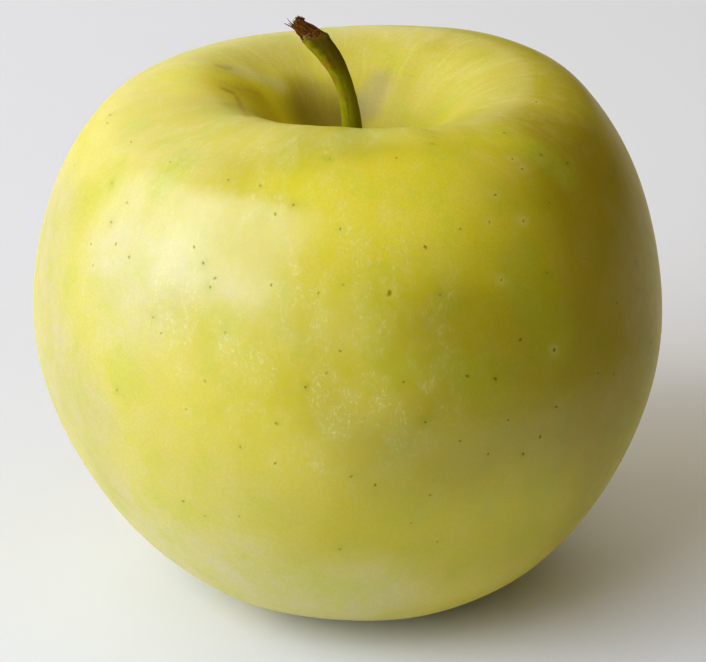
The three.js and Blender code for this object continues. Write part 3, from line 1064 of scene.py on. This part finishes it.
def make_backdrop():
    """A pale wall all round and overhead, for views that look past the floor. It lights nothing."""
    material, tree, shader = new_material("backdrop", {})
    tree.nodes.remove(shader)
    height = add(tree, "SeparateXYZ", {0: place_in_mm(tree)}).outputs[2]
    tone = blend(tree, ramp(tree, height, 0.0, BACKDROP_RADIUS * 0.6), BACKDROP_LOW, BACKDROP_HIGH)
    glow = add(tree, "Emission", {"Strength": 1.0, "Color": tone})
    fill(tree, tree.nodes["Material Output"], {"Surface": glow.outputs[0]})
    t = np.linspace(0, math.pi / 2, DOME_ROWS + 1)[:-1, None]
    angle = np.arange(DOME_SIDES) / DOME_SIDES * math.tau
    dome = np.stack([np.cos(t) * np.cos(angle), np.cos(t) * np.sin(angle), np.sin(t) + 0 * angle], axis=-1)
    vertices = np.vstack([dome.reshape(-1, 3), (0, 0, 1)]) * BACKDROP_RADIUS
    top, last = len(vertices) - 1, (DOME_ROWS - 1) * DOME_SIDES
    faces = grid_faces(DOME_ROWS, DOME_SIDES)
    faces += [(last + k, top, last + (k + 1) % DOME_SIDES) for k in range(DOME_SIDES)]
    backdrop = make_object("backdrop", vertices, faces, material)
    hide_from(backdrop, "diffuse", "glossy", "transmission", "volume_scatter", "shadow")


def make_reflected_dark():
    """A dark sheet past the paper on the shaded side: painted shade that the skin alone mirrors; it can't be
    seen otherwise.
    """
    material = new_material("reflected_dark", {"Base Color": REFLECTED_DARK, "Roughness": 0.9})[0]
    angle = np.linspace(*(math.radians(turn) for turn in REFLECTED_DARK_TURNS), REFLECTED_DARK_STEPS)
    inner, outer = (
        np.stack([radius * np.cos(angle), radius * np.sin(angle), 0 * angle + REFLECTED_DARK_LIFT], axis=-1)
        for radius in (PAPER_RADIUS, FLOOR_HALF)
    )
    faces = [(k, REFLECTED_DARK_STEPS + k, REFLECTED_DARK_STEPS + k + 1, k + 1) for k in range(REFLECTED_DARK_STEPS - 1)]
    dark_sheet = make_object("reflected_dark", np.vstack([inner, outer]), faces, material)
    hide_from(dark_sheet, "camera", "diffuse", "transmission", "volume_scatter", "shadow")


def area_light(name, direction, distance, size, power, hue):
    """A soft light that faces the fruit from a direction, with sizes in metres and the power in watts."""
    data = bpy.data.lights.new(name, "AREA")
    data.shape = "RECTANGLE"
    data.size, data.size_y = size
    data.energy = power
    data.color = hue
    light = bpy.data.objects.new(name, data)
    light.visible_camera = False
    towards = Vector(direction).normalized()
    light.location = Vector((0, 0, SKIN_MIDDLE_HEIGHT * MM)) + towards * distance
    light.rotation_euler = towards.to_track_quat("Z", "Y").to_euler()
    bpy.context.scene.collection.objects.link(light)


def make_lights():
    area_light("window_front", (-0.66, -0.50, 0.56), 1.7, (1.4, 1.4), 25.0, (0.94, 1.0, 1.18))
    area_light("window_side", (-0.92, 0.0, 0.40), 1.7, (1.4, 1.4), 15.0, (0.94, 1.0, 1.18))
    area_light("room_right", (0.60, -0.45, 0.75), 1.5, (1.6, 1.6), 1.5, (1.25, 1.0, 0.5))
    area_light("room_low", (-0.40, -0.90, 0.17), 1.5, (1.4, 0.5), 2.0, (0.85, 1.0, 1.1))
    area_light("ceiling", (0.0, 0.0, 1.0), 1.6, (3.0, 3.0), 11.0, (1.20, 1.0, 0.65))
    area_light("far_wall", (-0.45, 1.0, 0.45), 1.6, (1.6, 1.2), 8.5, (0.95, 1.0, 1.05))
    world = bpy.data.worlds.new("room")
    world.use_nodes = True
    background = world.node_tree.nodes["Background"]
    fill(world.node_tree, background, {"Color": (0.9, 0.88, 0.86), "Strength": 0.02})
    bpy.context.scene.world = world


# ======== assembly

bpy.context.scene.view_settings.view_transform = "Standard"
make_camera()
make_lights()
make_floor()
make_reflected_dark()
make_backdrop()

skin = Skin()
pores = find_pores(skin)
skin_nodes = skin_group(skin)
halos = {"halo": halo_values(skin, pores)}
fruit = make_object("skin", skin.vertices, skin.faces, skin_material(skin_nodes), values=halos)
stand_in(fruit, "fruit")
stand_in(make_pores(skin, pores, pore_material(skin_nodes)), None)
stand_in(make_stem(skin, stem_material()), "stem")
stand_in(make_calyx(sepal_material()), "calyx")
